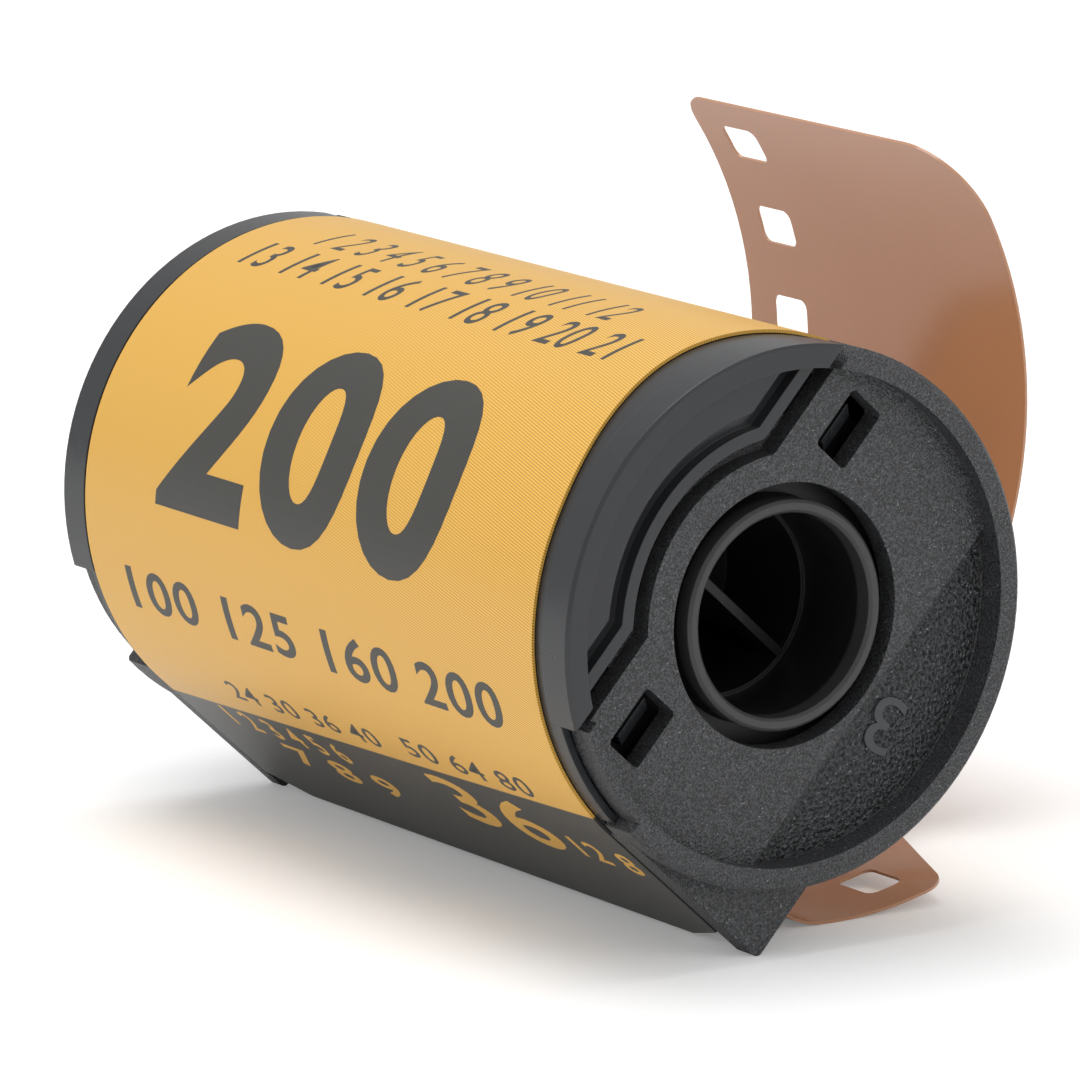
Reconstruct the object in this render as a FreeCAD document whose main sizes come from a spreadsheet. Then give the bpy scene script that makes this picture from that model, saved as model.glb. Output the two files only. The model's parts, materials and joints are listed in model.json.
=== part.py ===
"""A 35 mm film cartridge of the snap-together kind, with its leader drawn out and curled.

Two moulded half shells clasp a spool that is wound with film. The film leaves by a lined
mouth, and a printed label wrapped round the shells holds them shut. Millimetres, +Z up,
+Y from the flat end towards the end with the spool's nub. The cartridge rests on the corners
of its mouth and on the lowest line of the curled leader, as in the photograph.

Every piece is drawn in one working frame, which is laid in place at the end: x runs from the
mouth's side across to the far seam, y from the back towards the mouth, z is the depth from the
flat end's rim into the cartridge.
"""
import FreeCAD
import Part
import Sketcher
import math
import os
import re

from FreeCAD import Placement, Rotation, Vector

# The driving sizes: millimetres and degrees, with what each one measures.
SIZES = {
    "film_width": (35.0, "film"),
    "film_thickness": (0.14, "film"),
    "film_room": (4.15, "rim faces beyond the film's edges"),
    "case_radius": (12.35, "shells under the label"),
    "wall": (1.05, "shell wall"),
    "rim_proud": (0.15, "raised rims above the case"),
    "rim_ring": (1.1, "width of the raised rings on the end faces"),
    "rim_width": (2.1, "depth of the end plates, rim face to inner face"),
    "rim_edge": (0.2, "bevel round the inner shell's rims"),
    "outer_rim_edge": (0.15, "bevel round the outer shell's rims"),
    "floor_depth": (0.95, "end plate floor below the rim face"),
    "low_floor_depth": (1.65, "coarse floor segment below the rim face"),
    "low_floor_width": (5.05, "height of the coarse floor segment"),
    "seam_angle": (47.7, "tilt of the seam's direction above the level"),
    "seam_height": (5.95, "outer shell, from the seam's edge to its back"),
    "seam_gap": (0.1, "between the two shells' edges"),
    "seam_overlap": (0.9, "between the two shells' edges on the end plates"),
    "ring_gap": (0.6, "between the ends of the two shells' raised rings"),
    "cheek_depth": (1.5, "outer shell's cheek beside the mouth, below the rim face"),
    "cheek_thickness": (0.35, "that cheek"),
    "cheek_end": (0.9, "axis to the cheek's end, across the seam"),
    "ridge_inset": (3.1, "raised ring to the light-trap ridge round the hub"),
    "ridge_room": (0.8, "that ridge to the inner shell's edge"),
    "ridge_width": (0.6, "outer shell's light-trap ridge"),
    "ridge_groove": (0.75, "groove behind the ridge"),
    "groove_floor": (0.4, "plate left under that groove"),
    "ledge_reach": (1.5, "inner shell's ledge under the ridge"),
    "ledge_height": (0.6, "thickness of that ledge"),
    "lap_reach": (1.7, "inner shell's lap behind the outer shell's wall"),
    "lap_thickness": (0.5, "thickness of that lap"),
    "hub_ring": (1.4, "inner shell's plate between its edge and the bore"),
    "window_inset": (3.05, "raised ring to a claw window's middle"),
    "window_inland": (2.55, "plate's edge to a claw window's middle"),
    "window_long": (3.1, "claw window along the seam"),
    "window_short": (2.06, "claw window across the seam"),
    "window_corner": (0.25, "corners of the claw windows"),
    "claw_shift": (0.15, "claw's middle inwards of its window's"),
    "claw_width": (2.1, "claw arm along the seam"),
    "claw_thickness": (0.6, "claw arm"),
    "claw_root_length": (1.0, "claw's root on the outer shell"),
    "claw_heel": (0.4, "claw nose to the window's back edge"),
    "claw_nose": (1.1, "claw nose across the seam"),
    "claw_rise": (0.85, "claw nose above the end plate's inner face"),
    "mouth_inset": (2.7, "mouth's end faces nearer the axis than the case's radius"),
    "mouth_corner": (0.3, "rounding of the mouth's corners"),
    "mouth_gap": (2.1, "between the lips"),
    "ear_depth": (1.15, "end faces of the mouth below the rim face"),
    "ear_inner": (2.5, "inner face of the mouth's near end below the rim face"),
    "lip_inset": (0.3, "outer lip's edge below the mouth's end faces"),
    "lip_thickness": (1.9, "outer lip"),
    "lip_notch": (3.0, "length of the lip's cut-back corners"),
    "lip_notch_deep": (1.15, "depth of the lip's cut-back corners"),
    "lip_clear": (0.47, "film roll to the inner lip's upper edge"),
    "pile_gap": (0.04, "light-trap pile to film and lips"),
    "pile_clear": (0.73, "film roll to the upper edge of the pile"),
    "pile_inset": (0.75, "outer edge of the pile below the mouth's end faces"),
    "core_gap": (0.1, "film roll to spool core"),
    "blend_radius": (4.0, "film bend outside the mouth"),
    "curl_radius": (20.0, "leader's curl"),
    "curl_offset": (5.3, "axis to the curl's centre, level"),
    "curl_end_angle": (39.0, "leader's end, degrees above the curl's centre"),
    "tongue_cut": (12.4, "film cut away beside the leader's tongue"),
    "tongue_near_corner": (4.0, "tongue's large end corner"),
    "tongue_far_corner": (1.6, "tongue's small end corner"),
    "step_angle": (-66.0, "place of the step from full width to tongue"),
    "step_lean": (1.35, "how far the step leans along the film"),
    "step_corner": (1.5, "outer corner of the step"),
    "step_hollow": (7.0, "hollow curve of the step"),
    "hole_spacing": (4.75, "perforations, middle to middle"),
    "hole_long": (2.79, "perforation across the film"),
    "hole_short": (1.98, "perforation along the film"),
    "hole_corner": (0.5, "perforation corners"),
    "hole_margin": (2.0, "perforation to the film's edge"),
    "hole_angle": (31.4, "first perforation, degrees above the curl's centre"),
    "label_gap": (0.04, "label to shells"),
    "label_thickness": (0.15, "label"),
    "label_start": (2.7, "label's edge below the near rim face"),
    "label_finish": (2.2, "label's edge below the far rim face"),
    "label_inset": (0.15, "label's edge behind the lip's edge"),
    "label_end_angle": (118.0, "label's other edge, degrees from the far seam's side"),
    "spool_inset": (0.9, "spool's flat end below the rim face"),
    "nub_reach": (5.7, "spool's nub beyond the far rim face"),
    "bore_room": (0.8, "inner shell's bore to the spool's journal"),
    "journal_wall": (0.6, "journal round the fork bore"),
    "fork_depth": (11.0, "depth of the bore for the winding fork"),
    "web_depth": (5.1, "fork bore's mouth to the key web"),
    "journal_edge": (0.15, "bevels of the journal's open end"),
    "web_thickness": (0.45, "key web"),
    "web_socket": (0.2, "step from the fork bore in to the web's socket"),
    "core_step": (0.55, "core above the journals"),
    "flange_rise": (0.13, "spool flanges above the film roll"),
    "flange_thickness": (0.8, "spool flanges"),
    "flange_gap": (0.27, "spool flange to film edge"),
    "nub_step": (0.55, "nub below the journals"),
    "nub_start": (0.6, "far rim face to the nub's shoulder"),
    "nub_wall": (1.05, "nub round its socket"),
    "nub_bore_depth": (6.0, "depth of that socket"),
    "nub_edge": (0.4, "bevel of the nub's end"),
    "slot_width": (0.9, "film slot in the core"),
    "slot_deep": (3.0, "film slot in the core"),
    "slot_margin": (4.0, "film slot's ends from the flanges"),
}

# The sizes that follow from those.
FOLLOWING = {
    "body_length": ("film_width + 2 * film_room", "shells, rim face to rim face"),
    "film_start": ("film_room", "film's near edge"),
    "film_finish": ("film_room + film_width", "film's far edge"),
    "tongue_edge": ("film_start + tongue_cut", "tongue's near edge"),
    "case_inner": ("case_radius - wall", "inside of the case"),
    "rim_radius": ("case_radius + rim_proud", "rim"),
    "rim_bore": ("rim_radius - rim_ring", "inside of the raised ring"),
    "low_floor_line": ("rim_bore - low_floor_width", "axis to the coarse segment's edge"),
    "seam_line": ("case_radius - seam_height", "axis to the outer shell's seam edge"),
    "plate_line": ("seam_line - seam_overlap", "axis to the inner shell's plate edge"),
    "ridge_arc": ("rim_bore - ridge_inset", "ridge's inner edge round the hub"),
    "plate_arc": ("ridge_arc - ridge_room", "inner shell's plate edge round the hub"),
    "bore_radius": ("plate_arc - hub_ring", "inner shell's bore for the spool"),
    "window_offset": ("rim_bore - window_inset", "axis to a claw window, along the seam"),
    "window_back": ("plate_line - window_inland", "axis to a claw window, across the seam"),
    "claw_offset": ("window_offset - claw_shift", "axis to a claw, along the seam"),
    "claw_root": ("seam_line + claw_root_length", "axis to the back of a claw's root"),
    "mouth_reach": ("case_radius - mouth_inset", "axis to the mouth's end faces"),
    "lip_reach": ("mouth_reach - lip_inset", "axis to the outer lip's edge"),
    "label_lip": ("lip_reach - label_inset", "axis to the label's edge on the lip"),
    "lip_inner": ("case_radius - lip_thickness", "axis to the outer lip's inner face"),
    "inner_lip": ("lip_inner - mouth_gap", "axis to the inner lip's face"),
    "film_line": ("(lip_inner + inner_lip) / 2", "axis to the film's straight run"),
    "roll_radius": ("film_line + film_thickness / 2", "film roll"),
    "inner_lip_top": (
        "sqrt(roll_radius ^ 2 - (inner_lip - wall) ^ 2) + lip_clear",
        "axis to the inner lip's upper edge",
    ),
    "pile_start": (
        "sqrt(roll_radius ^ 2 - inner_lip ^ 2) + pile_clear",
        "axis to the upper edge of the pile",
    ),
    "pile_end": ("mouth_reach - pile_inset", "axis to the outer edge of the pile"),
    "spool_end": ("body_length + nub_reach", "end of the nub"),
    "journal_radius": ("bore_radius - bore_room", "spool's journals"),
    "fork_radius": ("journal_radius - journal_wall", "bore for the winding fork"),
    "web_radius": ("fork_radius - web_socket", "socket that holds the key web"),
    "core_radius": ("journal_radius + core_step", "spool core"),
    "flange_radius": ("roll_radius + flange_rise", "spool flanges"),
    "nub_radius": ("journal_radius - nub_step", "spool nub"),
    "nub_bore": ("nub_radius - nub_wall", "socket in the nub"),
    "axis_height": (
        "(rim_radius - mouth_corner) * sin(seam_angle)"
        " + (mouth_reach - mouth_corner) * cos(seam_angle) + mouth_corner",
        "axis above the ground",
    ),
    "curl_rise": ("curl_radius + film_thickness / 2 - axis_height", "curl's centre above the axis"),
    "curl_x": ("curl_offset * cos(seam_angle) + curl_rise * sin(seam_angle)", "curl's centre"),
    "curl_y": ("curl_offset * sin(seam_angle) - curl_rise * cos(seam_angle)", "curl's centre"),
    "blend_x": ("blend_radius - film_line", "small bend's centre"),
    "blend_y": (
        "curl_y + sqrt((curl_radius - blend_radius) ^ 2 - (curl_x - blend_x) ^ 2)",
        "small bend's centre",
    ),
    "bend_turn": ("atan2(blend_y - curl_y; blend_x - curl_x) / 1 deg", "where curl and bend meet"),
    "curl_run": (
        "curl_radius * (hole_angle - seam_angle + bend_turn) * pi / 180",
        "film from the first perforation to the bend",
    ),
    "bend_run": ("blend_radius * (180 - bend_turn) * pi / 180", "film in the bend"),
    "hole_turn": ("hole_spacing / curl_radius * 180 / pi", "perforations, degrees"),
    "far_holes": (
        "floor((curl_run - hole_short / 2) / hole_spacing) + 1",
        "perforations on the curl's far edge",
    ),
    "near_first": (
        "ceil((hole_angle - step_angle"
        " + (step_lean + (step_corner + hole_short) / 2) / curl_radius * 180 / pi) / hole_turn)",
        "perforations that the step leaves out on the near edge",
    ),
    "straight_first": ("ceil((curl_run + bend_run) / hole_spacing)", "perforations up to the mouth"),
}

doc = FreeCAD.newDocument("film_cartridge")
sheet = doc.addObject("Spreadsheet::Sheet", "Sizes")
cells = [(name, str(number), note) for name, (number, note) in SIZES.items()]
cells += [(name, f"={text}", note) for name, (text, note) in FOLLOWING.items()]
for row, (name, content, note) in enumerate(cells, start=1):
    sheet.set(f"A{row}", name)
    sheet.set(f"B{row}", content)
    sheet.setAlias(f"B{row}", name)
    sheet.set(f"C{row}", note)
doc.recompute()
NAMES = {name for name, _, _ in cells}


def bound(text):
    """The expression with each size's name pointed at the sheet."""
    return re.sub(r"[A-Za-z_]\w*", lambda m: f"Sizes.{m[0]}" if m[0] in NAMES else m[0], text)


def value(text):
    """What an expression on the sheet's sizes comes to."""
    return float(sheet.evalExpression(bound(text)))


def across(radius, line):
    """Half the chord of a circle at a distance from its centre."""
    return f"sqrt(({radius}) ^ 2 - ({line}) ^ 2)"


def body(label):
    piece = doc.addObject("PartDesign::Body", label)
    piece.Label = label
    return piece


def plane(piece, role):
    return next(f for f in piece.Origin.OriginFeatures if f.Role == role)


def new_sketch(piece, name, depth="0", role="XY_Plane"):
    """A sketch on one of the body's own planes, moved along that plane's normal."""
    sketch = piece.newObject("Sketcher::SketchObject", name)
    sketch.AttachmentSupport = (plane(piece, role), [""])
    sketch.MapMode = "FlatFace"
    sketch.setExpression("AttachmentOffset.Base.z", bound(depth))
    return sketch


def draw(sketch, corners):
    """A closed outline. A corner is (x, y), or (x, y, radius, turn) where an arc follows it:
    turn is 1 for counter-clockwise and -1 for clockwise, and the arc is under half a circle."""
    points = [Vector(value(c[0]), value(c[1]), 0) for c in corners]
    first = len(sketch.Geometry)
    for number, corner in enumerate(corners):
        here, there = points[number], points[(number + 1) % len(points)]
        if len(corner) == 2:
            sketch.addGeometry(Part.LineSegment(here, there))
            continue
        radius, turn = value(corner[2]), corner[3]
        chord = there - here
        side = Vector(-chord.y, chord.x, 0).normalize() * turn
        centre = (here + there) * 0.5 + side * math.sqrt(radius**2 - (chord.Length / 2) ** 2)
        bearings = [math.atan2(p.y - centre.y, p.x - centre.x) for p in (here, there)]
        low, high = bearings if turn > 0 else bearings[::-1]
        circle = Part.Circle(centre, Vector(0, 0, 1), radius)
        sketch.addGeometry(Part.ArcOfCircle(circle, low, high))
    for number, corner in enumerate(corners):
        item = first + number
        following = first + (number + 1) % len(corners)
        arc = len(corner) == 4
        next_arc = len(corners[(number + 1) % len(corners)]) == 4
        finish = 1 if arc and corner[3] < 0 else 2
        turn_next = corners[(number + 1) % len(corners)][3] if next_arc else 1
        start_next = 2 if next_arc and turn_next < 0 else 1
        start = 2 if arc and corner[3] < 0 else 1
        sketch.addConstraint(Sketcher.Constraint("Coincident", item, finish, following, start_next))
        for kind, text in (("DistanceX", corner[0]), ("DistanceY", corner[1])):
            index = sketch.addConstraint(Sketcher.Constraint(kind, -1, 1, item, start, value(text)))
            label = f"{kind[-1].lower()}_{item}"
            sketch.renameConstraint(index, label)
            sketch.setExpression(f"Constraints.{label}", bound(text))
        if arc:
            index = sketch.addConstraint(Sketcher.Constraint("Radius", item, value(corner[2])))
            sketch.renameConstraint(index, f"radius_{item}")
            sketch.setExpression(f"Constraints.radius_{item}", bound(corner[2]))
    return sketch


def draw_circle(sketch, radius):
    """A circle about the sketch's origin."""
    item = len(sketch.Geometry)
    sketch.addGeometry(Part.Circle(Vector(), Vector(0, 0, 1), value(radius)))
    sketch.addConstraint(Sketcher.Constraint("Coincident", item, 3, -1, 1))
    index = sketch.addConstraint(Sketcher.Constraint("Radius", item, value(radius)))
    sketch.renameConstraint(index, f"round_{item}")
    sketch.setExpression(f"Constraints.round_{item}", bound(radius))
    return sketch


def rectangle(x_low, x_high, y_low, y_high):
    return [(x_low, y_low), (x_high, y_low), (x_high, y_high), (x_low, y_high)]


def rounded(x_low, x_high, y_low, y_high, radius):
    """A rectangle with rounded corners."""
    return [
        (f"({x_low} + {radius})", y_low),
        (f"({x_high} - {radius})", y_low, radius, 1),
        (x_high, f"({y_low} + {radius})"),
        (x_high, f"({y_high} - {radius})", radius, 1),
        (f"({x_high} - {radius})", y_high),
        (f"({x_low} + {radius})", y_high, radius, 1),
        (x_low, f"({y_high} - {radius})"),
        (x_low, f"({y_low} + {radius})", radius, 1),
    ]


def pad(piece, sketch, length):
    feature = piece.newObject("PartDesign::Pad", f"{sketch.Name}_pad")
    feature.Profile = sketch
    feature.setExpression("Length", bound(length))
    sketch.Visibility = False
    doc.recompute()
    return feature


def pocket(piece, sketch, length):
    """Cuts from the sketch back against its normal."""
    feature = piece.newObject("PartDesign::Pocket", f"{sketch.Name}_cut")
    feature.Profile = sketch
    feature.setExpression("Length", bound(length))
    sketch.Visibility = False
    before = feature.BaseFeature.Shape.Volume
    doc.recompute()
    if feature.Shape.Volume > before - 1e-6:
        raise RuntimeError(f"{feature.Name} cuts nothing")
    return feature


def slab(piece, name, corners, low, high):
    return pad(piece, draw(new_sketch(piece, name, low), corners), f"{high} - ({low})")


def recess(piece, name, corners, low, high):
    return pocket(piece, draw(new_sketch(piece, name, high), corners), f"{high} - ({low})")


def disc_recess(piece, name, radius, low, high):
    return pocket(piece, draw_circle(new_sketch(piece, name, high), radius), f"{high} - ({low})")


def ends(low, high):
    """The same span of depth at the flat end and, mirrored, at the nub end."""
    return (
        ("near", low, high),
        ("far", f"(body_length - ({high}))", f"(body_length - ({low}))"),
    )


def beside(sign, offset, half):
    """The low and high limits of something centred to the right or left of the axis."""
    return f"({sign} * {offset} - {half})", f"({sign} * {offset} + {half})"


def claw_levels():
    """The depths of a claw nose's crest, and of its arm's outer face and middle, at each end."""
    levels = ("rim_width - claw_rise", "rim_width + seam_gap", "rim_width + seam_gap + claw_thickness / 2")
    return ("near", *levels), ("far", *(f"(body_length - ({level}))" for level in levels))


def edges_where(shape, test):
    return [f"Edge{n}" for n, edge in enumerate(shape.Edges, start=1) if test(edge)]


def dress(piece, kind, name, size, text, test):
    """A chamfer or fillet on the edges of the body's last feature that pass the test."""
    base = piece.Tip
    names = edges_where(base.Shape, test)
    if not names:
        raise RuntimeError(f"{name} finds no edge")
    feature = piece.newObject(f"PartDesign::{kind}", name)
    feature.Base = (base, names)
    feature.setExpression(size, bound(text))
    doc.recompute()
    return feature


def is_rim(edge):
    """The outer edge of a rim face, at either end."""
    curve = edge.Curve
    if not isinstance(curve, Part.Circle) or abs(curve.Radius - value("rim_radius")) > 1e-4:
        return False
    depth = curve.Center.z
    return min(abs(depth), abs(depth - value("body_length"))) < 1e-4


def hub_edge(line, arc):
    """Left to right along a seam edge: straight, round the hub's back, and straight again."""
    step = across(arc, line)
    return [(f"-{step}", f"-({line})", arc, 1), (step, f"-({line})")]


def behind_seam(rim, line, arc):
    """The plate area behind a seam edge and inside a circle."""
    reach = across(rim, line)
    return [
        (reach, f"-({line})", rim, -1),
        ("0", f"-({rim})", rim, -1),
        (f"-{reach}", f"-({line})"),
        *hub_edge(line, arc),
    ]


def make_outer_shell():
    """The smooth half: the back of both end plates, the back wall, and the outer lip."""
    piece = body("outer_shell")
    reach = across("case_radius", "seam_line")
    inner_reach = across("case_inner", "seam_line")
    wall = [
        (reach, "-seam_line", "case_radius", -1),
        ("0", "-case_radius", "case_radius", -1),
        (f"-{reach}", "-seam_line"),
        (f"-{inner_reach}", "-seam_line", "case_inner", 1),
        ("0", "-case_inner", "case_inner", 1),
        (inner_reach, "-seam_line"),
    ]
    slab(piece, "back_wall", wall, "rim_width - seam_gap", "body_length - rim_width + seam_gap")
    bed = across("case_inner", "lip_inner")
    side = [
        (f"-{reach}", "-seam_line", "case_radius", -1),
        ("-case_radius", "0"),
        ("-case_radius", "lip_reach"),
        ("-lip_inner", "lip_reach"),
        ("-lip_inner", bed, "case_inner", 1),
        ("-case_inner", "0", "case_inner", 1),
        (f"-{inner_reach}", "-seam_line"),
    ]
    lip_low = "(ear_inner + seam_gap)"
    lip_high = "(body_length - rim_width - seam_gap)"
    slab(piece, "side_wall", side, lip_low, lip_high)
    plate = behind_seam("rim_radius", "seam_line", "ridge_arc")
    for end, low, high in ends("0", "rim_width - seam_gap"):
        slab(piece, f"{end}_plate", plate, low, high)
    floor = behind_seam("rim_bore", "(seam_line - seam_gap)", "(ridge_arc - seam_gap)")
    for end, low, high in ends("0", "floor_depth"):
        recess(piece, f"{end}_floor", floor, low, high)
    ridge_line, ridge_arc = "(seam_line + ridge_width)", "(ridge_arc + ridge_width)"
    floor_line, floor_arc = f"({ridge_line} + ridge_groove)", f"({ridge_arc} + ridge_groove)"
    inside, outside = across("rim_bore", ridge_line), across("rim_bore", floor_line)
    step, turn = across(ridge_arc, ridge_line), across(floor_arc, floor_line)
    groove = [
        (f"-{inside}", f"-{ridge_line}"),
        (f"-{step}", f"-{ridge_line}", ridge_arc, 1),
        (step, f"-{ridge_line}"),
        (inside, f"-{ridge_line}", "rim_bore", -1),
        (outside, f"-{floor_line}"),
        (turn, f"-{floor_line}", floor_arc, -1),
        (f"-{turn}", f"-{floor_line}"),
        (f"-{outside}", f"-{floor_line}", "rim_bore", -1),
    ]
    for end, low, high in ends("0", "rim_width - seam_gap - groove_floor"):
        recess(piece, f"{end}_groove", groove, low, high)
    for place, sign in (("right", "1"), ("left", "-1")):
        edges = beside(sign, "claw_offset", "claw_width / 2")
        heel = "-(window_back + window_short / 2 - claw_heel)"
        toe = "-(window_back + window_short / 2 - claw_heel - claw_nose)"
        for end, low, high in ends("rim_width - seam_gap", "rim_width + seam_gap + claw_thickness"):
            root = rectangle(*edges, "-claw_root", "-(seam_line + seam_gap)")
            slab(piece, f"{end}_{place}_root", root, low, high)
        for end, low, high in ends("rim_width + seam_gap", "rim_width + seam_gap + claw_thickness"):
            slab(piece, f"{end}_{place}_arm", rectangle(*edges, "-claw_root", toe), low, high)
        for end, crest, low, high in claw_levels():
            nose = [(heel, crest), (toe, low), (toe, high), (heel, high)]
            sketch = new_sketch(piece, f"{end}_{place}_nose", edges[0], "YZ_Plane")
            pad(piece, draw(sketch, nose), "claw_width")
    root_line, cheek_inner = "(seam_line + seam_gap)", "(case_radius - cheek_thickness)"
    cheek = [
        (f"-{across('case_radius', root_line)}", f"-{root_line}", "case_radius", -1),
        (f"-{across('case_radius', 'cheek_end')}", "-cheek_end"),
        (f"-{across(cheek_inner, 'cheek_end')}", "-cheek_end", cheek_inner, 1),
        (f"-{across(cheek_inner, root_line)}", f"-{root_line}"),
    ]
    slab(piece, "near_cheek", cheek, "cheek_depth", f"({lip_low} + seam_gap)")
    slab(piece, "far_cheek", cheek, f"({lip_high} - seam_gap)", "(body_length - cheek_depth)")
    notch = "(lip_reach - lip_notch_deep)"
    for end, low, high in (
        ("near", lip_low, f"({lip_low} + lip_notch)"),
        ("far", f"({lip_high} - lip_notch)", lip_high),
    ):
        corner = [
            (notch, low if end == "near" else high),
            ("lip_reach", low if end == "near" else high),
            ("lip_reach", high if end == "near" else low),
        ]
        sketch = new_sketch(piece, f"{end}_lip_corner", "-lip_inner + wall", "YZ_Plane")
        pocket(piece, draw(sketch, corner), "case_radius")
    dress(piece, "Chamfer", "rim_bevel", "Size", "outer_rim_edge", is_rim)
    return piece


def make_inner_shell():
    """The grained half: most of both end plates, the front wall, the mouth's ends and inner lip."""
    piece = body("inner_shell")
    rim_line = "(seam_line - ring_gap)"
    rim_reach, ring_reach = across("rim_radius", rim_line), across("rim_bore", rim_line)
    plate_reach = across("rim_bore", "plate_line")
    plate = [
        (rim_reach, f"-{rim_line}", "rim_radius", 1),
        ("0", "rim_radius", "rim_radius", 1),
        (f"-{rim_reach}", f"-{rim_line}"),
        (f"-{ring_reach}", f"-{rim_line}", "rim_bore", -1),
        (f"-{plate_reach}", "-plate_line"),
        *hub_edge("plate_line", "plate_arc"),
        (plate_reach, "-plate_line", "rim_bore", -1),
        (ring_reach, f"-{rim_line}"),
    ]
    for end, low, high in ends("0", "rim_width"):
        slab(piece, f"{end}_plate", plate, low, high)
    bed_radius, bed_end = "(case_radius - cheek_thickness - seam_gap)", "(cheek_end - seam_gap)"
    cheek_bed = [
        (f"-{across(bed_radius, 'seam_line')}", "-seam_line", bed_radius, -1),
        (f"-{across(bed_radius, bed_end)}", f"-{bed_end}"),
        ("-(rim_radius + wall)", f"-{bed_end}"),
        ("-(rim_radius + wall)", "-seam_line"),
    ]
    for end, low, high in ends("0", "rim_width"):
        recess(piece, f"{end}_cheek_bed", cheek_bed, low, high)
    ear = [
        ("-rim_radius", "0"),
        ("-(inner_lip - wall)", "0"),
        ("-(inner_lip - wall)", "mouth_reach"),
        ("-(rim_radius - mouth_corner)", "mouth_reach", "mouth_corner", 1),
        ("-rim_radius", "(mouth_reach - mouth_corner)"),
    ]
    slab(piece, "near_ear", ear, "ear_depth", "ear_inner")
    slab(piece, "far_ear", ear, "body_length - rim_width", "body_length - ear_depth")
    ledge_rim = "(case_inner - 2 * seam_gap)"
    ledge_line, ledge_back = "(plate_line + ledge_reach)", "(plate_line - wall)"
    ledge = [
        (across(ledge_rim, ledge_line), f"-{ledge_line}", ledge_rim, 1),
        (across(ledge_rim, ledge_back), f"-{ledge_back}"),
        (f"-{across(ledge_rim, ledge_back)}", f"-{ledge_back}", ledge_rim, 1),
        (f"-{across(ledge_rim, ledge_line)}", f"-{ledge_line}"),
        *hub_edge(ledge_line, "(plate_arc + ledge_reach)"),
    ]
    for end, low, high in ends("rim_width", "rim_width + ledge_height"):
        slab(piece, f"{end}_ledge", ledge, low, high)
        for side, sign in (("right", "1"), ("left", "-1")):
            span = beside(sign, "claw_offset", "(claw_width / 2 + seam_gap)")
            slot = rectangle(*span, f"-({ledge_line} + wall)", f"-({ledge_back} - wall)")
            recess(piece, f"{end}_{side}_slot", slot, low, high)
    lip_foot = across("case_inner", "(inner_lip - wall)")
    wall_line = "(seam_line - seam_gap)"
    wall = [
        (across("case_radius", wall_line), f"-{wall_line}", "case_radius", 1),
        ("0", "case_radius", "case_radius", 1),
        ("-inner_lip", across("case_radius", "inner_lip")),
        ("-inner_lip", "inner_lip_top"),
        ("-(inner_lip - wall)", "inner_lip_top"),
        ("-(inner_lip - wall)", lip_foot, "case_inner", -1),
        ("0", "case_inner", "case_inner", -1),
        (across("case_inner", wall_line), f"-{wall_line}"),
    ]
    slab(piece, "front_wall", wall, "rim_width / 2", "body_length - rim_width / 2")
    lap_rim, lap_bore = "(case_inner - seam_gap)", "(case_inner - seam_gap - lap_thickness)"
    lap_top, lap_foot = "(seam_line + lap_reach)", "(seam_line - lap_reach)"
    claw_back = "(rim_width + 2 * seam_gap + claw_thickness)"
    for name, rim, top in (
        ("lap", lap_rim, lap_top),
        ("lap_foot", "(case_inner + wall / 2)", wall_line),
    ):
        lap = [
            (across(rim, lap_foot), f"-{lap_foot}", rim, -1),
            (across(rim, top), f"-{top}"),
            (across(lap_bore, top), f"-{top}", lap_bore, 1),
            (across(lap_bore, lap_foot), f"-{lap_foot}"),
        ]
        slab(piece, name, lap, claw_back, f"(body_length - {claw_back})")
    for end, low, high in ends("0", "floor_depth"):
        disc_recess(piece, f"{end}_floor", "rim_bore", low, high)
    coarse = [
        (across("rim_bore", "low_floor_line"), "low_floor_line", "rim_bore", 1),
        (f"-{across('rim_bore', 'low_floor_line')}", "low_floor_line"),
    ]
    for end, low, high in ends("0", "low_floor_depth"):
        recess(piece, f"{end}_low_floor", coarse, low, high)
    for end, low, high in ends("0", "rim_width + ledge_height"):
        disc_recess(piece, f"{end}_bore", "bore_radius", low, high)
        for side, sign in (("right", "1"), ("left", "-1")):
            span = beside(sign, "window_offset", "window_long / 2")
            back, front = "-(window_back + window_short / 2)", "-(window_back - window_short / 2)"
            window = rounded(*span, back, front, "window_corner")
            recess(piece, f"{end}_{side}_window", window, low, high)
    dress(piece, "Chamfer", "rim_bevel", "Size", "rim_edge", is_rim)
    return piece


def make_light_traps():
    """The two strips of black pile that close the mouth on the film."""
    face = "(film_line - film_thickness / 2 - pile_gap)"
    back = "(film_line + film_thickness / 2 + pile_gap)"
    low, high = "(ear_inner + seam_gap)", "(body_length - ear_inner - seam_gap)"
    for name, x_low, x_high in (
        ("outer_light_trap", "-(lip_inner - pile_gap)", f"-{back}"),
        ("inner_light_trap", f"-{face}", "-(inner_lip + pile_gap)"),
    ):
        slab(body(name), f"{name}_strip", rectangle(x_low, x_high, "pile_start", "pile_end"), low, high)


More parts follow.
